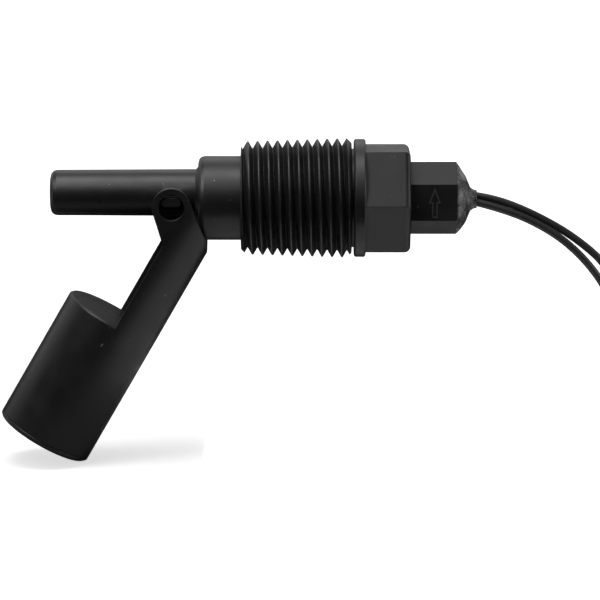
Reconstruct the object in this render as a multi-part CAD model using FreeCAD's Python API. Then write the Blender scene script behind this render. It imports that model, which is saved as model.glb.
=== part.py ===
import FreeCAD, Part
import math
import os

# Side-mounted float level switch, in millimetres.
# Origin: centre of the flange's seat face, on the thread axis.
# +X runs out of the tank towards the leads, +Z is up, the float hangs on the -X side.

os.makedirs("parts", exist_ok=True)
Vector = FreeCAD.Vector
X_AXIS, Y_AXIS, Z_AXIS = Vector(1, 0, 0), Vector(0, 1, 0), Vector(0, 0, 1)

# Stem
stem_length = 27.0
stem_tip_diameter = 8.32
stem_root_diameter = 8.6
stem_rise = 1.0
stem_tip_rounding = 1.2
stem_tip_wall = 1.6
stem_bore_diameter = 5.0
stem_root_flare = 0.5

# Collar between the stem and the thread
collar_diameter = 15.35
collar_length = 7.75
collar_rounding = 1.1

# Tapered pipe thread, 14 threads to the inch, right-hand
thread_length = 20.6
thread_pitch = 25.4 / 14
thread_small_diameter = 20.6
thread_taper = 1 / 16
thread_crest_flat = 0.25
thread_flank_deg = 30
thread_start_deg = 205.0
thread_lead_in = 0.9
thread_run_out = 0.85
relief_width = 0.45
relief_diameter = 18.0

# Flange, wrench hexagon and lead boss
flange_diameter = 21.55
flange_thickness = 2.1
flange_edge = 0.25
hex_flats = 18.4
hex_length = 8.12
hex_rounding = 1.05
boss_flats = 11.56
boss_length = 8.45
body_bore_diameter = 8.6
body_bore_depth = 42.7

# Hinge: pins on the stem, holes in the float's two ears
hinge_from_collar = 4.72
hinge_drop = 0.46
pin_width = 3.68
pin_height = 1.8
pin_recess = 0.4
pin_gap = 0.09
pin_edge = 0.15
ear_hole_diameter = 4.65
shoulder_width = 5.4
shoulder_height = 2.8
running_gap = 0.3

# Float and its half-round arm
hang_deg = 60
float_diameter = 18.1
float_axis_offset = 1.12
float_start = 24.0
float_length = 26.3
float_wall = 1.2
float_end_wall = 1.4
float_edge = 0.35
arm_wall = 1.4
arm_cut_offset = 1.05
ear_radius = 3.5
ear_corner = 6.8
ear_corner_fillet = 0.4
heel_slope_deg = 20
heel_reach = 1.5
cap_thickness = 0.9
cap_spigot = 1.6
cap_fit = 0.03
seam_chamfer = 0.12

# Magnet in the float, in line with the stem when the float is up
magnet_diameter = 6.0
magnet_thickness = 3.0
magnet_fit = 0.03
pocket_wall = 0.85
retainer_thickness = 0.8

# Reed switch
glass_diameter = 2.2
glass_length = 14.0
glass_wall = 0.3
glass_seal = 1.6
glass_rise = 0.9
glass_from_bore_end = 3.3
blade_width = 1.1
blade_thickness = 0.18
blade_overlap = 1.4
blade_gap = 0.06
reed_lead_diameter = 0.5
front_lead_length = 1.9
rear_lead_length = 3.2
solder_diameter = 1.15
solder_gap = 0.05
solder_length = 1.9
sleeve_wall = 0.15
sleeve_length = 5.0
sleeve_bore = 1.6
joint_sleeve_bore = 1.9
sleeve_clear = 0.3

# Leads
lead_diameter = 1.42
conductor_diameter = 0.6
tail_length = 2.6
lead_total = 300.0
strip_length = 7.0
front_run_drop = 1.5
run_spread = 1.5
run_cross = 14.0
run_rise = 0.65
exit_run = 2.4
exit_fall = 0.27

# Potting compound
dome_height = 3.75
dome_drop = 0.2
dome_side_slope = 0.83
dome_shoulder = 1.75
dome_shoulder_diameter = 8.4
dome_neck = 2.6
dome_neck_diameter = 4.3
dome_tip_diameter = 3.3

# Put-away coil of the two leads, and the surface that it lies on
bench_z = -49.2
coil_pitch = 1.45
coil_x = 66.0
coil_y = 7.15
coil_inner_radius = 6.45
tie_thickness = 0.4
tie_span_deg = 18
tie_angle_deg = 200
tie_fit = 0.02

# Places that follow from the sizes
thread_x = -thread_length
collar_x = thread_x - collar_length
stem_x = collar_x - stem_length
hex_x = flange_thickness
boss_x = hex_x + hex_length
end_x = boss_x + boss_length
bore_x = end_x - body_bore_depth
stem_bore_x = stem_x + stem_tip_wall
hinge_x = collar_x - hinge_from_collar
hinge_z = -hinge_drop
float_radius = float_diameter / 2
arm_cut = float_axis_offset + arm_cut_offset
ear_inner = float_radius - arm_wall
lead_radius = lead_diameter / 2
wire_floor_z = bench_z + tie_thickness + lead_radius
coil_outer_radius = coil_inner_radius + lead_diameter

# Routes of the two leads, from the potting to the start of the coil
LEAD_A_ROUTE = [
    (22.4, 0.52, 0.31),
    (25.7, 0.50, -0.09),
    (32.2, 0.50, -2.55),
    (40.2, 0.50, -6.85),
    (47.4, 0.50, -13.1),
    (51.6, 0.58, -23.6),
    (53.0, 0.65, -35.6),
    (55.4, 0.70, -44.6),
    (60.6, 0.70, -48.09),
    (66.0, 0.70, -48.09),
]
LEAD_B_ROUTE = [
    (22.4, -0.52, -0.74),
    (25.8, -0.50, -1.85),
    (32.4, -0.50, -4.25),
    (39.4, -0.50, -8.50),
    (45.1, -0.52, -14.8),
    (49.3, -0.58, -23.6),
    (51.4, -0.66, -35.8),
    (54.0, -0.72, -44.9),
    (60.2, -0.72, -48.09),
    (66.0, -0.72, -48.09),
]


def rod(diameter, x0, x1, z=0.0, y=0.0):
    """Cylinder along X."""
    return Part.makeCylinder(diameter / 2, x1 - x0, Vector(x0, y, z), X_AXIS)


def taper(d0, d1, x0, x1, z=0.0):
    """Cone frustum along X, d0 across at x0 and d1 at x1."""
    return Part.makeCone(d0 / 2, d1 / 2, x1 - x0, Vector(x0, 0, z), X_AXIS)


def eased_bar(d0, d1, x0, x1, edge, z=0.0):
    """Turned bar along X, its front edge rounded off in three short cones."""
    outline = [Vector(x0, 0, 0)]
    for i in range(4):
        a = math.radians(30 * i)
        outline.append(Vector(x0 + edge * (1 - math.cos(a)), 0, d0 / 2 - edge * (1 - math.sin(a))))
    outline += [Vector(x1, 0, d1 / 2), Vector(x1, 0, 0), outline[0]]
    bar = Part.Face(Part.makePolygon(outline)).revolve(Vector(0, 0, 0), X_AXIS, 360)
    bar.translate(Vector(0, 0, z))
    return bar


def hex_outline(flats, x, first_corner_deg):
    """Hexagon across the X axis; the angle is counted from -Y towards +Z."""
    radius = flats / math.sqrt(3)
    corners = []
    for i in range(7):
        a = math.radians(first_corner_deg + 60 * i)
        corners.append(Vector(x, -radius * math.cos(a), radius * math.sin(a)))
    return Part.makePolygon(corners)


def hex_bar(flats, x0, x1, first_corner_deg):
    """Hexagonal bar along X."""
    return Part.Face(hex_outline(flats, x0, first_corner_deg)).extrude(Vector(x1 - x0, 0, 0))


def edges_where(shape, test):
    """Edges whose middle point passes the test."""
    found = []
    for edge in shape.Edges:
        middle = edge.valueAt((edge.FirstParameter + edge.LastParameter) / 2)
        if test(edge, middle):
            found.append(edge)
    return found


def near(a, b, slack=0.01):
    return abs(a - b) < slack


def bends(points):
    """Corners of a route as arcs: start, end, direction in and out, radius and turn of each."""
    p = [Vector(*q) for q in points]
    found = []
    for before, corner, after in zip(p, p[1:], p[2:]):
        run_in, run_out = corner - before, after - corner
        turn = run_in.getAngle(run_out)
        trim = 0.45 * min(run_in.Length, run_out.Length)
        unit_in, unit_out = Vector(run_in).normalize(), Vector(run_out).normalize()
        start, end = corner - unit_in * trim, corner + unit_out * trim
        found.append((start, end, unit_in, unit_out, trim / math.tan(turn / 2), turn))
    return found


def route_length(points):
    """Length along the straight runs and the arcs."""
    total, start = 0.0, Vector(*points[0])
    for a, b, unit_in, unit_out, radius, turn in bends(points):
        total += (a - start).Length + radius * turn
        start = b
    return total + (Vector(*points[-1]) - start).Length


def tube(points, diameter, report=None):
    """Round tube: straight runs joined by tangent arcs, each as large as its two runs allow."""
    start, pieces = Vector(*points[0]), []
    for a, b, unit_in, unit_out, radius, turn in bends(points):
        pieces.append(Part.makeCylinder(diameter / 2, (a - start).Length, start, unit_in))
        axis = unit_in.cross(unit_out).normalize()
        disc = Part.Face(Part.Wire(Part.makeCircle(diameter / 2, a, unit_in)))
        pieces.append(disc.revolve(a + axis.cross(unit_in) * radius, axis, math.degrees(turn)))
        start = b
    last = Vector(*points[-1]) - start
    pieces.append(Part.makeCylinder(diameter / 2, last.Length, start, Vector(last).normalize()))
    shape = pieces[0].fuse(pieces[1:])
    if report:
        expected = math.pi * diameter ** 2 / 4 * route_length(points)
        print(report, "radii", " ".join(f"{bend[4]:.1f}" for bend in bends(points)))
        print(report, f"length {route_length(points):.2f}, volume {shape.Volume / expected:.4f} of expected")
    return shape


def write(name, shape):
    shape.exportStep(f"parts/{name}.step")
    print(f"{name:24s} {len(shape.Solids)} solid, {shape.Volume:10.3f} mm3, valid {shape.isValid()}")


# ---- moulded body ----

def crest_diameter(x):
    return thread_small_diameter + (x - thread_x) * thread_taper


def thread_groove():
    """Tapered helical V groove, from just before the thread's end to the relief."""
    x0 = thread_x - 0.75 * thread_pitch
    x1 = -relief_width - 0.15
    clear = 0.06
    half_angle = math.radians(thread_flank_deg)
    half_width = (thread_pitch - thread_crest_flat) / 2
    depth = half_width / math.tan(half_angle)
    crest = crest_diameter(x0) / 2
    cone_deg = math.degrees(math.atan(thread_taper / 2))
    helix = Part.makeLongHelix(thread_pitch, x1 - x0, crest, cone_deg)
    top = half_width + clear * math.tan(half_angle)
    root = Vector(crest - depth, 0, 0)
    profile = [root, Vector(crest + clear, 0, -top), Vector(crest + clear, 0, top), root]
    groove = Part.Wire(helix.Edges).makePipeShell([Part.makePolygon(profile)], True, True)
    groove.rotate(Vector(0, 0, 0), Z_AXIS, thread_start_deg)
    groove.rotate(Vector(0, 0, 0), Y_AXIS, 90)
    groove.translate(Vector(x0, 0, 0))
    return groove


def threaded_length():
    """Thread with its lead-in, its run-out and the plain relief before the flange."""
    front, rear = crest_diameter(thread_x), crest_diameter(-relief_width)
    full_x, fade_x = thread_x + thread_lead_in, -relief_width - thread_run_out
    blank = taper(front - 2 * thread_lead_in, crest_diameter(full_x), thread_x, full_x)
    blank = blank.fuse([
        taper(crest_diameter(full_x), crest_diameter(fade_x), full_x, fade_x),
        taper(crest_diameter(fade_x), rear - 2 * thread_run_out, fade_x, -relief_width),
    ])
    threaded = blank.cut(thread_groove())
    return threaded.fuse(rod(relief_diameter, -relief_width, 0))


def stem():
    end = collar_x + collar_rounding
    return eased_bar(stem_tip_diameter, stem_root_diameter, stem_x, end, stem_tip_rounding, stem_rise)


def collar():
    return eased_bar(collar_diameter, collar_diameter, collar_x, thread_x, collar_rounding)


def flange():
    shape = rod(flange_diameter, 0, flange_thickness)
    rims = edges_where(shape, lambda e, m: near(abs(m.z) + abs(m.y), flange_diameter / 2) and e.Length > 1)
    return shape.makeChamfer(flange_edge, rims)


def wrench_hex():
    """Hexagon with a corner towards -Y, rounded at its outer end."""
    shape = hex_bar(hex_flats, hex_x, boss_x, 0)
    rear = edges_where(shape, lambda e, m: near(m.x, boss_x))
    return shape.makeFillet(hex_rounding, rear)


def pin_z():
    """The pins stand as high in the ear holes as the gap allows."""
    room = ear_hole_diameter / 2 - pin_gap - pin_height / 2
    half_flat = (pin_width - pin_height) / 2
    return hinge_z + math.sqrt(room ** 2 - half_flat ** 2)


def oblong(width, height, reach):
    """Bar of stadium section across the stem, level with the pins."""
    half_flat = (width - height) / 2
    ends = [
        Part.makeCylinder(height / 2, 2 * reach, Vector(hinge_x + side * half_flat, -reach, pin_z()), Y_AXIS)
        for side in (-1, 1)
    ]
    corner = Vector(hinge_x - half_flat, -reach, pin_z() - height / 2)
    return Part.makeBox(2 * half_flat, 2 * reach, height, corner).fuse(ends)


def hinge_pins():
    """Shoulders on the stem that keep the ears in place, each with a smaller pin."""
    reach = float_radius - pin_recess
    pins = oblong(pin_width, pin_height, reach).removeSplitter()
    ends = edges_where(pins, lambda e, m: near(abs(m.y), reach))
    shoulders = oblong(shoulder_width, shoulder_height, ear_inner - running_gap)
    return shoulders.fuse(pins.makeChamfer(pin_edge, ends))


def bore_space():
    """The stem's blind bore and the wider bore behind it."""
    narrow = rod(stem_bore_diameter, stem_bore_x, bore_x + 1, stem_rise)
    return narrow.fuse(rod(body_bore_diameter, bore_x, end_x))


def switch_body():
    boss = hex_bar(boss_flats, boss_x, end_x, 30)
    front = collar().fuse(stem())
    foot = Vector(collar_x, 0, stem_rise)
    root = edges_where(front, lambda e, m: near(m.distanceToPoint(foot), stem_root_diameter / 2, 0.1))
    front = front.makeChamfer(stem_root_flare, root).fuse(hinge_pins())
    shape = threaded_length().fuse([front, flange(), wrench_hex(), boss])
    return shape.cut(bore_space()).removeSplitter()


# ---- float, built with local x along the arm and local z away from the tank wall ----

def place_float(shape):
    shape.rotate(Vector(0, 0, 0), Y_AXIS, 180 - hang_deg)
    shape.translate(Vector(hinge_x, 0, hinge_z))
    return shape


def local(world_deg, length=1.0):
    """A direction in the tank's XZ plane, as local x and z."""
    along = math.radians(world_deg - 180 - hang_deg)
    out = math.radians(world_deg + 90 - hang_deg)
    return Vector(length * math.cos(along), 0, length * math.cos(out))


def section_u(radius, length, start):
    """U-section bar: half round on the outer side, straight sides past the ears."""
    side = ear_radius + 1
    a, b = Vector(start, -radius, -side), Vector(start, -radius, float_axis_offset)
    c, d = Vector(start, radius, float_axis_offset), Vector(start, radius, -side)
    crown = Vector(start, 0, float_axis_offset + radius)
    edges = [
        Part.LineSegment(a, b).toShape(),
        Part.Arc(b, crown, c).toShape(),
        Part.LineSegment(c, d).toShape(),
        Part.LineSegment(d, a).toShape(),
    ]
    return Part.Face(Part.Wire(edges)).extrude(Vector(length, 0, 0))


def arm_outline():
    """Side view of the ears and arm: round ear, straight cut edge, sloping heel."""
    corner = Vector(ear_corner, 0, arm_cut)
    reach = corner.Length
    spread = math.acos(ear_radius / reach)
    at = math.atan2(corner.z, corner.x)
    tangent_deg = math.degrees(at - spread)
    slope = local(heel_slope_deg)
    slope_deg = math.degrees(math.atan2(slope.z, slope.x))

    def on_ear(deg):
        a = math.radians(deg)
        return Vector(ear_radius * math.cos(a), 0, ear_radius * math.sin(a))

    left, right = on_ear(tangent_deg), on_ear(slope_deg)
    top = on_ear((tangent_deg + 360 + slope_deg) / 2)
    heel = hinge_from_collar + heel_reach
    slope_run = math.radians(heel_slope_deg)
    kink_drop = (ear_radius - heel * math.cos(slope_run)) / math.sin(slope_run)
    kink = local(0, heel) + local(90, kink_drop)
    deep = float_axis_offset + float_radius + 1
    foot = kink + local(-90, (deep - kink.z) / local(-90).z)
    far = float_start + float_end_wall / 2
    edges = [
        Part.Arc(left, top, right).toShape(),
        Part.LineSegment(right, kink).toShape(),
        Part.LineSegment(kink, foot).toShape(),
        Part.LineSegment(foot, Vector(far, 0, deep)).toShape(),
        Part.LineSegment(Vector(far, 0, deep), Vector(far, 0, arm_cut)).toShape(),
        Part.LineSegment(Vector(far, 0, arm_cut), corner).toShape(),
        Part.LineSegment(corner, left).toShape(),
    ]
    width = float_diameter + 2
    outline = Part.Face(Part.Wire(edges))
    outline.translate(Vector(0, -width / 2, 0))
    return outline.extrude(Vector(0, width, 0))


def float_arm():
    """Half-round arm with its two ears and the hinge hole through them."""
    length = float_start + float_end_wall / 2 + ear_radius + 1
    bar = section_u(float_radius, length, -ear_radius - 1)
    hollow = section_u(ear_inner, length, -ear_radius - 1)
    shape = bar.cut(hollow).common(arm_outline())
    corner = edges_where(shape, lambda e, m: near(m.x, ear_corner) and near(m.z, arm_cut))
    shape = shape.makeFillet(ear_corner_fillet, corner)
    width = float_diameter + 2
    hole = Part.makeCylinder(ear_hole_diameter / 2, width, Vector(0, -width / 2, 0), Y_AXIS)
    return shape.cut(hole)


def float_cup():
    """Float cup with a flat end wall and the magnet's pocket behind it."""
    end = float_start + float_length - cap_thickness
    cup = rod(float_diameter, float_start, end, float_axis_offset)
    rim = edges_where(cup, lambda e, m: near(m.x, end) and e.Length > 1)
    cup = cup.makeChamfer(seam_chamfer, rim)
    inside = rod(float_diameter - 2 * float_wall, float_start + float_end_wall, end, float_axis_offset)
    cup = cup.cut(inside)
    floor = float_start + float_end_wall
    depth = magnet_thickness + retainer_thickness
    pocket_bore = magnet_diameter + 2 * magnet_fit
    ring = rod(pocket_bore + 2 * pocket_wall, floor, floor + depth, magnet_z())
    return cup.fuse(ring).cut(rod(pocket_bore, floor, floor + depth, magnet_z()))


def magnet_z():
    """Local height that brings the magnet onto the stem's axis when the float is up."""
    return -(stem_rise - hinge_z)


def float_shell():
    """Arm, ears and cup moulded in one piece, cut clear of the collar where it hangs."""
    shape = float_cup().fuse(float_arm()).removeSplitter()
    rim = edges_where(
        shape,
        lambda e, m: near(m.x, float_start) and m.z < arm_cut - 1 and e.Length > float_diameter,
    )
    shape = place_float(shape.makeChamfer(float_edge, rim))
    clear = rod(collar_diameter + 2 * running_gap, collar_x - running_gap, thread_x)
    return shape.cut(clear)


def float_end_cap():
    """Welded cap with a ring spigot inside the cup."""
    start = float_start + float_length - cap_thickness
    disc = rod(float_diameter, start, start + cap_thickness, float_axis_offset)
    bottom = edges_where(disc, lambda e, m: near(m.x, start + cap_thickness) and e.Length > 1)
    disc = disc.makeChamfer(float_edge, bottom)
    seam = edges_where(disc, lambda e, m: near(m.x, start) and e.Length > 1)
    disc = disc.makeChamfer(seam_chamfer, seam)
    outer = float_diameter - 2 * float_wall - 2 * cap_fit
    spigot = rod(outer, start - cap_spigot, start, float_axis_offset)
    spigot = spigot.cut(rod(outer - 2 * float_wall, start - cap_spigot, start, float_axis_offset))
    return place_float(disc.fuse(spigot).removeSplitter())


def float_magnet():
    floor = float_start + float_end_wall
    return place_float(rod(magnet_diameter, floor, floor + magnet_thickness, magnet_z()))


def magnet_retainer():
    start = float_start + float_end_wall + magnet_thickness
    return place_float(rod(magnet_diameter, start, start + retainer_thickness, magnet_z()))


# ---- reed switch ----

glass_x = stem_bore_x + glass_from_bore_end
glass_end = glass_x + glass_length
glass_middle = (glass_x + glass_end) / 2
glass_z = stem_rise + glass_rise


def bead(diameter, x0, x1, z):
    """Rod along X with coned ends."""
    cone = diameter / 4
    shape = rod(diameter, x0 + cone, x1 - cone, z)
    front = taper(diameter - 2 * cone, diameter, x0, x0 + cone, z)
    return shape.fuse([front, taper(diameter, diameter - 2 * cone, x1 - cone, x1, z)])


def blade(side):
    """One reed: round lead, flattened into a blade inside the glass. side is -1 in front, 1 behind."""
    z = glass_z - side * (blade_thickness + blade_gap) / 2
    seal = glass_x + glass_seal if side < 0 else glass_end - glass_seal
    tip = glass_middle - side * blade_overlap / 2
    flat = Part.makeBox(
        abs(tip - seal), blade_width, blade_thickness,
        Vector(min(tip, seal), -blade_width / 2, z - blade_thickness / 2),
    )
    if side > 0:
        lead = rod(reed_lead_diameter, seal, glass_end + rear_lead_length, glass_z)
        return flat.fuse(lead).removeSplitter()
    bend = glass_x - front_lead_length
    foot = front_run_z() + conductor_diameter / 2 + solder_gap
    lead = rod(reed_lead_diameter, bend - reed_lead_diameter / 2, seal, glass_z)
    drop = Part.makeCylinder(reed_lead_diameter / 2, glass_z - foot, Vector(bend, 0, foot), Z_AXIS)
    return flat.fuse([lead, drop]).removeSplitter()


def reed_glass(blades):
    outer = bead(glass_diameter, glass_x, glass_end, glass_z)
    inner = glass_diameter - 2 * glass_wall
    cavity = bead(inner, glass_x + glass_seal, glass_end - glass_seal, glass_z)
    return outer.cut(cavity).cut(blades)


def front_run_z():
    """Height of the lead that passes under the glass to its front end."""
    return stem_rise - front_run_drop


def rear_joint_z():
    """The rear lead's conductor lies under the reed's lead."""
    return glass_z - (reed_lead_diameter + conductor_diameter) / 2 - solder_gap


def front_tail():
    end = glass_x - front_lead_length
    return rod(conductor_diameter, end - conductor_diameter / 2, end + tail_length, front_run_z())


def rear_tail():
    end = glass_end + rear_lead_length
    return rod(conductor_diameter, end - tail_length, end, rear_joint_z())


def inner_run(x, z, straight, side, route):
    """Insulated lead inside the potting, from its stripped end to the outside run."""
    last = Vector(*route[0]) + Vector(-exit_run, 0, exit_fall)
    middle = (bore_x + run_cross, side * run_spread / 2, side * run_rise)
    return tube([(x, 0, z), (x + straight, 0, z), middle, tuple(last), route[0]], lead_diameter)


def solder_joints(blade_front, blade_rear, tail_front, tail_rear):
    """Small drops of solder round each reed lead and conductor."""
    bend = glass_x - front_lead_length
    half = solder_diameter / 2
    front = bead(solder_diameter, bend - half, bend + half, front_run_z() + conductor_diameter / 2)
    end = glass_end + rear_lead_length
    middle = (glass_z + rear_joint_z()) / 2
    rear = bead(solder_diameter, end - solder_length - 0.2, end - 0.2, middle)
    return front.cut([blade_front, tail_front]), rear.cut([blade_rear, tail_rear])


def sleeve(x0, z, bore):
    """Heat-shrink sleeve."""
    outside = rod(bore + 2 * sleeve_wall, x0, x0 + sleeve_length, z)
    return outside.cut(rod(bore, x0, x0 + sleeve_length, z))


# ---- potting ----

def dome():
    """Resin crown that slopes in from the boss's six sides, rounds over and is drawn out along the leads."""
    crown = [
        (0, boss_flats / math.sqrt(3) + dome_drop),
        (dome_shoulder, dome_shoulder_diameter / 2),
        (dome_neck, dome_neck_diameter / 2),
        ((dome_neck + dome_height) / 2, (dome_neck_diameter + 3 * dome_tip_diameter) / 8),
        (dome_height, dome_tip_diameter / 2),
    ]
    outline = [Vector(end_x, 0, 0)] + [Vector(end_x + x, 0, r) for x, r in crown]
    outline += [Vector(end_x + dome_height, 0, 0), outline[0]]
    turned = Part.Face(Part.makePolygon(outline)).revolve(Vector(0, 0, 0), X_AXIS, 360)
    turned.translate(Vector(0, 0, -dome_drop))
    reach = 1.1 * dome_height
    base = hex_outline(boss_flats, end_x, 30)
    top = hex_outline(boss_flats - 2 * dome_side_slope * reach, end_x + reach, 30)
    return turned.common(Part.makeLoft([base, top], True, True))


def potting(embedded):
    return dome().fuse(bore_space()).removeSplitter().cut(embedded)


# ---- put-away coil ----

def coil_turns(route, radius):
    """Turns that use up the rest of a lead's length."""
    left = lead_total - strip_length - route_length(route)
    return left / (2 * math.pi * radius)


def coil_ring(radius, turns):
    """Outer shape of one lead's turns."""
    height = turns * coil_pitch + lead_diameter
    base = Vector(coil_x, coil_y, bench_z + tie_thickness)
    outer = Part.makeCylinder(radius + lead_radius, height, base)
    return outer.cut(Part.makeCylinder(radius - lead_radius, height, base)), height


def bare_end(radius, turns):
    """Stripped conductor that leaves the last turn along its tangent."""
    a = math.radians(-90 + 360 * turns)
    start = Vector(
        coil_x + radius * math.cos(a),
        coil_y + radius * math.sin(a),
        wire_floor_z + turns * coil_pitch,
    )
    tangent = Vector(-math.sin(a), math.cos(a), 0)
    return Part.makeCylinder(conductor_diameter / 2, strip_length, start, tangent)


def coil_tie(inner_height, outer_height):
    """Band round the bundle of turns at one place."""
    def loop(grow):
        inner, outer = coil_inner_radius - lead_radius - grow, coil_outer_radius + lead_radius + grow
        shoulder = coil_inner_radius + lead_radius + grow
        low = bench_z + tie_thickness - grow
        corners = [
            (inner, low), (outer, low), (outer, low + outer_height + 2 * grow),
            (shoulder, low + inner_height + 2 * grow), (inner, low + inner_height + 2 * grow),
        ]
        points = [Vector(r, 0, z) for r, z in corners + corners[:1]]
        return Part.Face(Part.makePolygon(points)).revolve(Vector(0, 0, 0), Z_AXIS, tie_span_deg)

    band = loop(tie_thickness).cut(loop(tie_fit))
    band.rotate(Vector(0, 0, 0), Z_AXIS, tie_angle_deg)
    band.translate(Vector(coil_x, coil_y, 0))
    return band


def build():
    body = switch_body()
    write("switch_body", body)
    write("float_shell", float_shell())
    write("float_end_cap", float_end_cap())
    write("float_magnet", float_magnet())
    write("magnet_retainer", magnet_retainer())

    blade_front, blade_rear = blade(-1), blade(1)
    glass = reed_glass([blade_front, blade_rear])
    tail_a, tail_b = rear_tail(), front_tail()
    solder_front, solder_rear = solder_joints(blade_front, blade_rear, tail_b, tail_a)
    front_start = glass_x - front_lead_length + tail_length
    rear_start = glass_end + rear_lead_length
    sleeve_x = glass_end + sleeve_clear
    inner_a = inner_run(rear_start, rear_joint_z(), sleeve_length - rear_lead_length + 1, 1, LEAD_A_ROUTE)
    inner_b = inner_run(front_start, front_run_z(), rear_start - front_start + 3, -1, LEAD_B_ROUTE)
    sleeve_rear = sleeve(sleeve_x, (glass_z + rear_joint_z()) / 2 - 0.05, joint_sleeve_bore)
    sleeve_front = sleeve(front_start - tail_length + solder_diameter / 2 + 0.1, front_run_z(), sleeve_bore)

    turns_a = coil_turns(LEAD_A_ROUTE, coil_inner_radius)
    turns_b = coil_turns(LEAD_B_ROUTE, coil_outer_radius)
    ring_a, height_a = coil_ring(coil_inner_radius, turns_a)
    ring_b, height_b = coil_ring(coil_outer_radius, turns_b)
    print(f"coil turns: lead a {turns_a:.3f}, lead b {turns_b:.3f}")
    bare_a, bare_b = bare_end(coil_inner_radius, turns_a), bare_end(coil_outer_radius, turns_b)
    coil = ring_a.fuse(ring_b).removeSplitter()
    lead_a = tube(LEAD_A_ROUTE, lead_diameter, "lead a").cut(coil)
    lead_b = tube(LEAD_B_ROUTE, lead_diameter, "lead b").cut(coil)
    inner_a, inner_b = inner_a.cut(lead_a), inner_b.cut(lead_b)

    inside = {
        "reed_glass": glass,
        "reed_blade_front": blade_front,
        "reed_blade_rear": blade_rear,
        "solder_joint_front": solder_front,
        "solder_joint_rear": solder_rear,
        "sleeve_front": sleeve_front,
        "sleeve_rear": sleeve_rear,
        "conductor_a": tail_a,
        "conductor_b": tail_b,
        "lead_a_inner": inner_a,
        "lead_b_inner": inner_b,
    }
    for name, shape in inside.items():
        write(name, shape)
    envelope = bead(glass_diameter, glass_x, glass_end, glass_z)
    write("potting_compound", potting(list(inside.values()) + [envelope, lead_a, lead_b]))
    write("lead_a", lead_a)
    write("lead_b", lead_b)
    write("lead_coil", coil.cut([bare_a, bare_b]))
    write("lead_a_bare_end", bare_a)
    write("lead_b_bare_end", bare_b)
    write("coil_tie", coil_tie(height_a, height_b))


build()
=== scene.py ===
import math

import bmesh
import bpy
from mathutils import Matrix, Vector


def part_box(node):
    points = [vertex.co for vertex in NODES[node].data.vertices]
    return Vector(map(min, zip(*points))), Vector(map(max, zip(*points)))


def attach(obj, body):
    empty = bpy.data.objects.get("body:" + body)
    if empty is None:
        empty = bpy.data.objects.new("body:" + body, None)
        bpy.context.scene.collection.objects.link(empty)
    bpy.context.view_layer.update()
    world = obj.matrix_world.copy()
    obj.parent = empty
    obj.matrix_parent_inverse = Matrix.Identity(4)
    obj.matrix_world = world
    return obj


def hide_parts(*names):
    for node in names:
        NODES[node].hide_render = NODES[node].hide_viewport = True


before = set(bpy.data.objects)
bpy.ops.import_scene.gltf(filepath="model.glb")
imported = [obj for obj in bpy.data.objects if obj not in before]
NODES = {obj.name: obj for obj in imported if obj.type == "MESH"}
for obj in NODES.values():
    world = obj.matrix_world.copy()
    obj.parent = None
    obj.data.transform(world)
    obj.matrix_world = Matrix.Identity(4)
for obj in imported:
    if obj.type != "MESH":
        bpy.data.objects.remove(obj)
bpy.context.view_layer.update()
SCENE = bpy.context.scene
MM = 0.001


# ---- camera ----

CAMERA_PLACE = (-0.00984, -0.6100, 0.0946)
CAMERA_DOWN_DEG = 10.547
CAMERA_LENS = 202.6
CAMERA_SENSOR = 36
CAMERA_NEAR_CLIP = 0.01


def make_camera():
    """The photo's view: level from side to side, and looking a little down on the switch."""
    data = bpy.data.cameras.new("camera")
    data.sensor_width = CAMERA_SENSOR
    data.lens = CAMERA_LENS
    data.clip_start = CAMERA_NEAR_CLIP
    camera = bpy.data.objects.new("camera", data)
    camera.location = CAMERA_PLACE
    camera.rotation_euler = (math.radians(90 - CAMERA_DOWN_DEG), 0, 0)
    SCENE.collection.objects.link(camera)
    SCENE.camera = camera


make_camera()


# ---- leads ----

LEAD_DIAMETER = 1.42 * MM
LEAD_SECTION_STEPS = 6
LEAD_SPAN_STEPS = 8
COIL_CENTRE = (66.0 * MM, 7.15 * MM)
COIL_PITCH = 1.45 * MM
COIL_POINTS_PER_TURN = 16
COIL_INNER_RADIUS = 6.45 * MM
COIL_OUTER_RADIUS = COIL_INNER_RADIUS + LEAD_DIAMETER

# In millimetres, as in part.py. Some points are moved by less than a lead's thickness, to follow the photo.
LEAD_A_ROUTE = [
    (22.4, 0.52, 0.31),
    (25.7, 0.50, -0.17),
    (32.2, 0.50, -2.65),
    (40.2, 0.50, -7.05),
    (47.3, 0.50, -13.2),
    (51.5, 0.58, -23.6),
    (53.0, 0.65, -35.6),
    (55.4, 0.70, -44.6),
    (60.6, 0.70, -48.09),
    (66.0, 0.70, -48.09),
]
LEAD_B_ROUTE = [
    (22.4, -0.52, -0.74),
    (25.8, -0.50, -1.58),
    (32.4, -0.50, -3.94),
    (39.4, -0.50, -8.24),
    (45.5, -0.52, -15.0),
    (50.0, -0.58, -24.2),
    (51.8, -0.66, -35.8),
    (54.0, -0.72, -44.9),
    (60.2, -0.72, -48.09),
    (66.0, -0.72, -48.09),
]
COIL_FOOT = LEAD_A_ROUTE[-1][2] * MM


def coil_point(radius, angle):
    """Point of a rising coil, at an angle counted from where the lead comes in."""
    x, y = COIL_CENTRE
    rise = COIL_PITCH * angle / (2 * math.pi)
    return x + radius * math.sin(angle), y - radius * math.cos(angle), COIL_FOOT + rise


def coil_points(radius, turns):
    """Control points of the turns, so far out that the curve between them keeps the true radius."""
    count = math.ceil(turns * COIL_POINTS_PER_TURN)
    end = 2 * math.pi * turns
    step = end / count
    control_radius = radius / math.cos(step / 2)
    points = [coil_point(control_radius, (i + 0.5) * step) for i in range(count)]
    return points + [coil_point(radius, end)]


def coil_turns(bare_end):
    """Turns of one lead, from the height at which the CAD part has its bare end."""
    low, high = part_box(bare_end)
    return ((low.z + high.z) / 2 - COIL_FOOT) / COIL_PITCH


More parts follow.
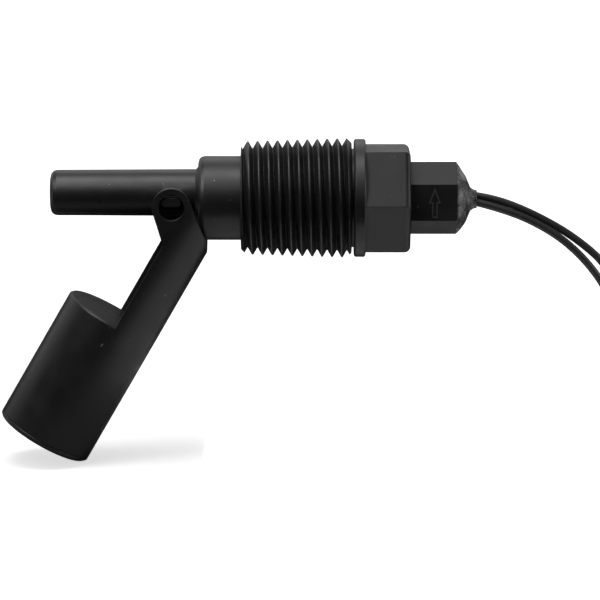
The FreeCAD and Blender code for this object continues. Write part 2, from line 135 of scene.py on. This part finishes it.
def make_lead(name, route, coil_radius, turns):
    """Smooth tube along the route and round the coil. The points carry its radius, so its box is true."""
    points = [(x * MM, y * MM, z * MM) for x, y, z in route]
    points += coil_points(coil_radius, turns)
    curve = bpy.data.curves.new(name, "CURVE")
    curve.dimensions = "3D"
    curve.bevel_depth = 1.0
    curve.bevel_resolution = LEAD_SECTION_STEPS
    curve.resolution_u = LEAD_SPAN_STEPS
    curve.use_fill_caps = True
    spline = curve.splines.new("NURBS")
    spline.points.add(len(points) - 1)
    for place, point in zip(spline.points, points):
        place.co = (*point, 1)
        place.radius = LEAD_DIAMETER / 2
    spline.order_u = 3
    spline.use_endpoint_u = True
    lead = bpy.data.objects.new(name, curve)
    SCENE.collection.objects.link(lead)
    return lead


def lay_lead(letter, route, coil_radius):
    """One lead from the resin to its bare end, tied to the frame."""
    bare_end = f"lead_{letter}_bare_end"
    lead = make_lead(f"lead_{letter}_cord", route, coil_radius, coil_turns(bare_end))
    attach(lead, "switch")
    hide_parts(f"lead_{letter}", "lead_coil")
    return lead


lead_a = lay_lead("a", LEAD_A_ROUTE, COIL_INNER_RADIUS)
lead_b = lay_lead("b", LEAD_B_ROUTE, COIL_OUTER_RADIUS)


# ---- raised arrow on the boss ----

BOSS_FACE_Y = -5.78 * MM
ARROW_SINK = 0.01 * MM
ARROW_FROM_END = 4.08 * MM
ARROW_LINE = 0.26 * MM
ARROW_HEIGHT = 0.16 * MM
ARROW_TIP = 2.35 * MM
ARROW_HEAD_LENGTH = 2.35 * MM
ARROW_HEAD_HALF = 0.90 * MM
ARROW_SHAFT_HALF = 0.40 * MM
ARROW_FOOT = -2.70 * MM
ARROW_LEAN = 0.25


def raised_line(name, outer, inner):
    """Closed raised line between two loops of XZ points, narrower at its top than at its foot."""
    foot_y = BOSS_FACE_Y + ARROW_SINK
    top_y = foot_y - ARROW_HEIGHT
    levels = [
        (outer, inner, foot_y, 0.0),
        (outer, inner, top_y, ARROW_LEAN),
        (inner, outer, top_y, ARROW_LEAN),
        (inner, outer, foot_y, 0.0),
    ]
    line = bmesh.new()
    rings = []
    for loop, other, y, lean in levels:
        ring = []
        for (x, z), (far_x, far_z) in zip(loop, other):
            ring.append(line.verts.new((x + lean * (far_x - x), y, z + lean * (far_z - z))))
        rings.append(ring)
    for low, high in zip(rings, rings[1:] + rings[:1]):
        for i in range(len(outer)):
            j = (i + 1) % len(outer)
            line.faces.new((low[i], low[j], high[j], high[i]))
    bmesh.ops.recalc_face_normals(line, faces=line.faces)
    mesh = bpy.data.meshes.new(name)
    line.to_mesh(mesh)
    line.free()
    return mesh


def arrow_loop(x, grow):
    """Corner points of an upward arrow about x, made larger all round by grow."""
    slope = ARROW_HEAD_LENGTH / ARROW_HEAD_HALF
    slant = math.sqrt(1 + slope ** 2)
    head_foot = ARROW_TIP - ARROW_HEAD_LENGTH - grow
    shaft = ARROW_SHAFT_HALF + grow
    right_side = [
        (0, ARROW_TIP + grow * slant),
        (ARROW_HEAD_HALF + grow * (1 + slant) / slope, head_foot),
        (shaft, head_foot),
        (shaft, ARROW_FOOT - grow),
    ]
    left_side = [(-across, z) for across, z in right_side[:0:-1]]
    return [(x + across, z) for across, z in right_side + left_side]


def make_arrow():
    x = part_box("switch_body")[1].x - ARROW_FROM_END
    outer = arrow_loop(x, ARROW_LINE / 2)
    inner = arrow_loop(x, -ARROW_LINE / 2)
    arrow = bpy.data.objects.new("up_arrow", raised_line("up_arrow", outer, inner))
    SCENE.collection.objects.link(arrow)
    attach(arrow, "switch")
    return arrow


up_arrow = make_arrow()


# ---- materials ----

BLUE_SHARE = 1.02
DUST_GREY = 0.45
# Grey of the specks painted into the resin's colour as glints.
PAINTED_GLINT_GREY = 0.6
BEVEL_SAMPLES = 6


def grey(value):
    """Grey with a trace of blue in it."""
    return (value, value, value * BLUE_SHARE)


class Look:
    """A node material with short helpers. Noise scales are in cells to the metre."""

    def __init__(self, name):
        self.material = bpy.data.materials.new(name)
        self.material.use_nodes = True
        self.tree = self.material.node_tree
        self.shader = self.tree.nodes["Principled BSDF"]
        self.where = self.tree.nodes.new("ShaderNodeTexCoord").outputs["Object"]

    def add(self, kind, **settings):
        node = self.tree.nodes.new(kind)
        for key, value in settings.items():
            setattr(node, key, value)
        return node

    def link(self, a, b):
        self.tree.links.new(a, b)

    def drive(self, socket, source):
        """Lets a texture set one of the shader's inputs."""
        self.link(source, self.shader.inputs[socket])

    def set(self, **values):
        for key, value in values.items():
            self.shader.inputs[key.replace("_", " ")].default_value = value

    def noise(self, scale, detail, roughness=0.55):
        node = self.add("ShaderNodeTexNoise")
        node.inputs["Scale"].default_value = scale
        node.inputs["Detail"].default_value = detail
        node.inputs["Roughness"].default_value = roughness
        self.link(self.where, node.inputs["Vector"])
        return node.outputs["Fac"]

    def ramp(self, fac, *stops):
        """Colours that follow fac, from (place, colour) stops."""
        node = self.add("ShaderNodeValToRGB")
        elements = node.color_ramp.elements
        while len(elements) < len(stops):
            elements.new(0.5)
        for element, (place, colour) in zip(elements, stops):
            element.position = place
            element.color = (*colour, 1)
        self.link(fac, node.inputs["Fac"])
        return node.outputs["Color"]

    def mix(self, fac, a, b):
        """Texture a where fac is black, and the plain colour b where it is white."""
        node = self.add("ShaderNodeMix", data_type="RGBA")
        self.link(fac, node.inputs["Factor"])
        self.link(a, node.inputs["A"])
        node.inputs["B"].default_value = (*b, 1)
        return node.outputs["Result"]

    def product(self, a, b):
        node = self.add("ShaderNodeMix", data_type="RGBA", blend_type="MULTIPLY")
        node.inputs["Factor"].default_value = 1
        self.link(a, node.inputs["A"])
        self.link(b, node.inputs["B"])
        return node.outputs["Result"]

    def eased_edges(self, radius):
        """Normals that round every sharp edge over, as a moulding's edges are."""
        node = self.add("ShaderNodeBevel", samples=BEVEL_SAMPLES)
        node.inputs["Radius"].default_value = radius
        return node.outputs["Normal"]

    def bump(self, height, distance, strength, after):
        node = self.add("ShaderNodeBump")
        node.inputs["Distance"].default_value = distance
        node.inputs["Strength"].default_value = strength
        self.link(height, node.inputs["Height"])
        self.link(after, node.inputs["Normal"])
        return node.outputs["Normal"]


def black_plastic(name, base, roughness, edge, dust=0.0):
    """Satin black moulding: eased edges, faint mould texture, uneven sheen and a few specks of dust."""
    look = Look(name)
    smooth, dull = roughness
    cloud = look.noise(scale=120, detail=4)
    colour = look.ramp(cloud, (0.3, grey(base * 0.8)), (0.7, grey(base * 1.25)))
    if dust:
        speck = look.ramp(look.noise(scale=1500, detail=1), (0.775, grey(0)), (0.80, grey(1)))
        patch = look.ramp(look.noise(scale=90, detail=2), (0.45, grey(0)), (0.62, grey(dust)))
        colour = look.mix(look.product(speck, patch), colour, grey(DUST_GREY))
    look.drive("Base Color", colour)
    sheen = look.noise(scale=260, detail=5)
    look.drive("Roughness", look.ramp(sheen, (0.35, grey(smooth)), (0.7, grey(dull))))
    grain = look.noise(scale=2600, detail=3)
    grained = look.bump(grain, distance=0.02 * MM, strength=0.6, after=look.eased_edges(edge))
    waves = look.noise(scale=240, detail=2)
    look.drive("Normal", look.bump(waves, distance=0.08 * MM, strength=0.35, after=grained))
    look.set(IOR=1.49, Specular_IOR_Level=0.4)
    return look.material


def potting_resin():
    """Poured resin: cloudy dark grey skin with soft lumps, uneven sheen, and pale specks painted into its
    colour as glints.
    """
    look = Look("potting_resin")
    cloud = look.noise(scale=420, detail=3, roughness=0.5)
    colour = look.ramp(cloud, (0.36, grey(0.010)), (0.50, grey(0.05)), (0.64, grey(0.17)))
    # Pale specks painted into the base colour: painted glints, standing for the light that tiny bubbles at
    # the surface catch.
    painted_glint = look.ramp(look.noise(scale=2600, detail=1), (0.74, grey(0)), (0.77, grey(0.8)))
    look.drive("Base Color", look.mix(painted_glint, colour, grey(PAINTED_GLINT_GREY)))
    sheen = look.noise(scale=1100, detail=4)
    look.drive("Roughness", look.ramp(sheen, (0.40, grey(0.16)), (0.62, grey(0.6))))
    lumps = look.noise(scale=900, detail=3)
    lumpy = look.bump(lumps, distance=0.35 * MM, strength=1.0, after=look.eased_edges(0.5 * MM))
    ripples = look.noise(scale=2400, detail=2)
    look.drive("Normal", look.bump(ripples, distance=0.08 * MM, strength=0.8, after=lumpy))
    look.set(IOR=1.52, Specular_IOR_Level=0.5)
    return look.material


def metal(name, colour, roughness):
    """Bare metal whose tone varies a little."""
    look = Look(name)
    darker = tuple(c * 0.85 for c in colour)
    look.drive("Base Color", look.ramp(look.noise(scale=900, detail=3), (0.3, darker), (0.7, colour)))
    look.set(Metallic=1.0, Roughness=roughness)
    return look.material


def ferrite():
    """Dull grey sintered magnet."""
    look = Look("ferrite")
    grain = look.noise(scale=1400, detail=4)
    look.drive("Base Color", look.ramp(grain, (0.3, grey(0.07)), (0.7, grey(0.12))))
    look.set(Roughness=0.6)
    return look.material


def reed_glass():
    """Clear glass, tinted green as a reed switch's is."""
    look = Look("reed_glass")
    tint = look.noise(scale=300, detail=2)
    look.drive("Base Color", look.ramp(tint, (0.3, (0.7, 0.86, 0.7)), (0.7, (0.8, 0.92, 0.8))))
    look.set(Roughness=0.05, Transmission_Weight=1.0, IOR=1.5)
    return look.material


def give(material, *names):
    """Puts one material on CAD nodes, in place of what they came with."""
    for name in names:
        slots = NODES[name].data.materials
        slots.clear()
        slots.append(material)


body_plastic = black_plastic("black_plastic_body", 0.007, (0.36, 0.44), edge=0.16 * MM, dust=0.6)
float_plastic = black_plastic("black_plastic_float", 0.006, (0.36, 0.46), edge=0.24 * MM, dust=0.6)
# The arrow's raised lines are the body's own plastic; their base colour is about four times the body's, a
# painted highlight for the light they catch.
arrow_plastic_painted_highlight = black_plastic("black_plastic_painted_highlight", 0.030, (0.42, 0.50), edge=0.06 * MM)
jacket = black_plastic("lead_jacket", 0.019, (0.32, 0.44), edge=0.05 * MM, dust=0.3)
tinned = metal("tinned_copper", (0.74, 0.72, 0.68), roughness=0.32)
solder = metal("solder", (0.66, 0.66, 0.66), roughness=0.25)
reed_alloy = metal("reed_alloy", (0.6, 0.58, 0.54), roughness=0.3)

give(body_plastic, "switch_body")
give(float_plastic, "float_shell", "float_end_cap", "magnet_retainer")
give(potting_resin(), "potting_compound")
give(jacket, "lead_a_inner", "lead_b_inner", "coil_tie", "sleeve_front", "sleeve_rear")
give(tinned, "conductor_a", "conductor_b", "lead_a_bare_end", "lead_b_bare_end")
give(solder, "solder_joint_front", "solder_joint_rear")
give(reed_alloy, "reed_blade_front", "reed_blade_rear")
give(ferrite(), "float_magnet")
give(reed_glass(), "reed_glass")
for lead in (lead_a, lead_b):
    lead.data.materials.append(jacket)
# The arrow gets the lighter copy of the body plastic, a painted highlight.
up_arrow.data.materials.append(arrow_plastic_painted_highlight)


# ---- floor and backdrop ----

BENCH = min(corner.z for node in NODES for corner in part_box(node))
FLOOR_NEAR = -0.7
FLOOR_FAR = 1.2
FLOOR_HALF_WIDTH = 2.5
BEND_RADIUS = 0.5
BEND_STEPS = 12
BACKDROP_HEIGHT = 2.2
SHADOW_REACH = 0.08
WHITE_REACH = 0.40
SHADOW_GLOW = 0.66


def make_stage():
    """Floor that curves up into a backdrop, white to the camera apart from the object's shadow."""
    profile = [(FLOOR_NEAR, BENCH), (FLOOR_FAR, BENCH)]
    for i in range(1, BEND_STEPS + 1):
        a = math.radians(90 * i / BEND_STEPS)
        y = FLOOR_FAR + BEND_RADIUS * math.sin(a)
        profile.append((y, BENCH + BEND_RADIUS * (1 - math.cos(a))))
    profile.append((FLOOR_FAR + BEND_RADIUS, BENCH + BACKDROP_HEIGHT))
    vertices = [(x, y, z) for y, z in profile for x in (-FLOOR_HALF_WIDTH, FLOOR_HALF_WIDTH)]
    faces = [(2 * i, 2 * i + 1, 2 * i + 3, 2 * i + 2) for i in range(len(profile) - 1)]
    mesh = bpy.data.meshes.new("studio_floor")
    mesh.from_pydata(vertices, [], faces)
    for polygon in mesh.polygons:
        polygon.use_smooth = True
    mesh.materials.append(stage_material())
    floor = bpy.data.objects.new("studio_floor", mesh)
    SCENE.collection.objects.link(floor)


def stage_material():
    """White floor that glows to the camera and in the object's gloss, and less near the object."""
    material, shader = plain_material("studio_white", 0.86, roughness=0.9, specular=0.1)
    shader.inputs["Emission Color"].default_value = (1, 1, 1, 1)
    tree = material.node_tree
    path = tree.nodes.new("ShaderNodeLightPath").outputs
    seen = math_node(tree, "MAXIMUM", path["Is Camera Ray"], path["Is Transmission Ray"])
    to_camera = math_node(tree, "MULTIPLY", seen, glow_by_distance(tree, SHADOW_GLOW))
    in_gloss = math_node(tree, "MULTIPLY", path["Is Glossy Ray"], glow_by_distance(tree, 0.0))
    glow = math_node(tree, "MAXIMUM", to_camera, in_gloss)
    tree.links.new(glow, shader.inputs["Emission Strength"])
    return material


def plain_material(name, shade, roughness, specular):
    material = bpy.data.materials.new(name)
    material.use_nodes = True
    shader = material.node_tree.nodes["Principled BSDF"]
    shader.inputs["Base Color"].default_value = (shade, shade, shade, 1)
    shader.inputs["Roughness"].default_value = roughness
    shader.inputs["Specular IOR Level"].default_value = specular
    return material, shader


def math_node(tree, operation, a, b):
    node = tree.nodes.new("ShaderNodeMath")
    node.operation = operation
    tree.links.new(a, node.inputs[0])
    tree.links.new(b, node.inputs[1])
    return node.outputs[0]


def glow_by_distance(tree, least):
    """White at full strength away from the object, and less round it, where its shadow shows."""
    place = tree.nodes.new("ShaderNodeTexCoord")
    length = tree.nodes.new("ShaderNodeVectorMath")
    length.operation = "LENGTH"
    tree.links.new(place.outputs["Object"], length.inputs[0])
    reach = tree.nodes.new("ShaderNodeMapRange")
    reach.inputs["From Min"].default_value = SHADOW_REACH
    reach.inputs["From Max"].default_value = WHITE_REACH
    reach.inputs["To Min"].default_value = least
    reach.inputs["To Max"].default_value = 1.0
    tree.links.new(length.outputs["Value"], reach.inputs["Value"])
    return reach.outputs["Result"]


# ---- light ----

BLACK_CARD = 0.003
DARK_CARD = 0.25
PALE_CARD = 0.45
AIR = 0.06
MIDDLE = (0, 0, 0)
STEM = (-0.03, 0, 0)
STEM_TIP = (-0.05, 0, 0)
BOSS = (0.05, 0, 0)
CARD_FOOT = BENCH + MM


def make_card(name, left, right, foot, head, shade):
    """Card from foot to head in YZ, hidden from the camera and casting no shadow, so that it shows in the
    gloss and in diffuse light, as a studio uses to hold edges dark.
    """
    mesh = bpy.data.meshes.new(name)
    corners = [(left, *foot), (right, *foot), (right, *head), (left, *head)]
    mesh.from_pydata(corners, [], [(0, 1, 2, 3)])
    mesh.materials.append(plain_material(name, shade, roughness=1.0, specular=0.0)[0])
    card = bpy.data.objects.new(name, mesh)
    card.visible_camera = False
    card.visible_shadow = False
    SCENE.collection.objects.link(card)


def area_light(name, place, aim, size, power):
    data = bpy.data.lights.new(name, "AREA")
    data.shape = "RECTANGLE"
    data.size, data.size_y = size
    data.energy = power
    light = bpy.data.objects.new(name, data)
    light.location = place
    light.rotation_euler = (Vector(aim) - Vector(place)).to_track_quat("-Z", "Y").to_euler()
    SCENE.collection.objects.link(light)


def make_world():
    world = bpy.data.worlds.new("studio_air")
    world.use_nodes = True
    background = world.node_tree.nodes["Background"]
    background.inputs["Color"].default_value = (AIR, AIR, AIR, 1)
    background.inputs["Strength"].default_value = 1.0
    SCENE.world = world


make_stage()
make_world()
make_card("front_flag", -0.30, 0.30, (-0.055, CARD_FOOT), (-0.15, 0.045), BLACK_CARD)
make_card("rear_flag", -0.14, 0.30, (0.030, CARD_FOOT), (0.115, 0.014), BLACK_CARD)
make_card("rear_card", -0.14, 0.30, (0.115, 0.014), (0.16, 0.085), PALE_CARD)
make_card("low_flag", -0.30, -0.028, (-0.055, CARD_FOOT), (0.030, CARD_FOOT), DARK_CARD)
area_light("top_softbox", (0.0, -0.07, 0.41), MIDDLE, size=(0.30, 0.22), power=0.62)
area_light("key_softbox", (-0.13, -0.10, 0.40), STEM, size=(0.20, 0.20), power=0.54)
area_light("near_softbox", (-0.14, -0.16, 0.18), STEM_TIP, size=(0.14, 0.14), power=0.36)
area_light("front_softbox", (-0.13, -0.24, 0.34), STEM, size=(0.52, 0.19), power=0.22)
area_light("rear_softbox", (0.0, 0.19, 0.37), MIDDLE, size=(0.26, 0.38), power=0.23)
area_light("left_strip", (-0.40, 0.10, 0.16), STEM_TIP, size=(0.26, 0.19), power=0.15)
area_light("right_strip", (0.42, -0.05, 0.10), BOSS, size=(0.26, 0.19), power=0.52)

SCENE.view_settings.view_transform = "Standard"

bpy.context.view_layer.update()
